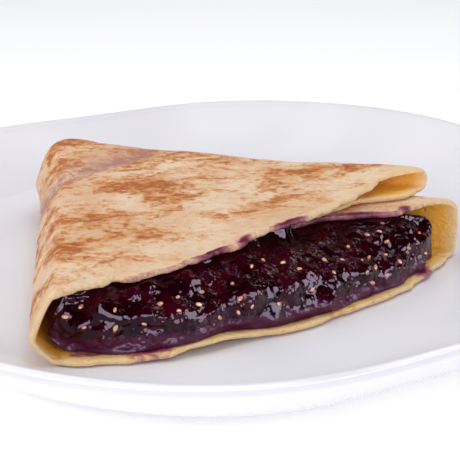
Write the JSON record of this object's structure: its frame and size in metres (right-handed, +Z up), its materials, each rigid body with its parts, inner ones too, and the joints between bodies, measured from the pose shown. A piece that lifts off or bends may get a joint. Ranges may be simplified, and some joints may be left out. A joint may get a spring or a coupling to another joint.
{
  "type": "folded crepe",
  "caption": "Thin pancake folded into a wedge around dark berry jam that shows along its open front, on a white plate with softly rounded corners.",
  "frame": {"origin": "on the table under the middle of the plate", "axes": "+Z is up; -Y is the side from which the jam is seen; +X is to the right as seen from there"},
  "size_m": [0.2316, 0.2316, 0.0293],
  "materials": {
    "plate": "white glazed porcelain",
    "crepe": "soft pancake, browned in patches",
    "jam": "wet and glossy"
  },
  "bodies": {
    "root": {"plate": "plate", "crepe": "crepe", "jam": "jam"}
  },
  "joints": []
}
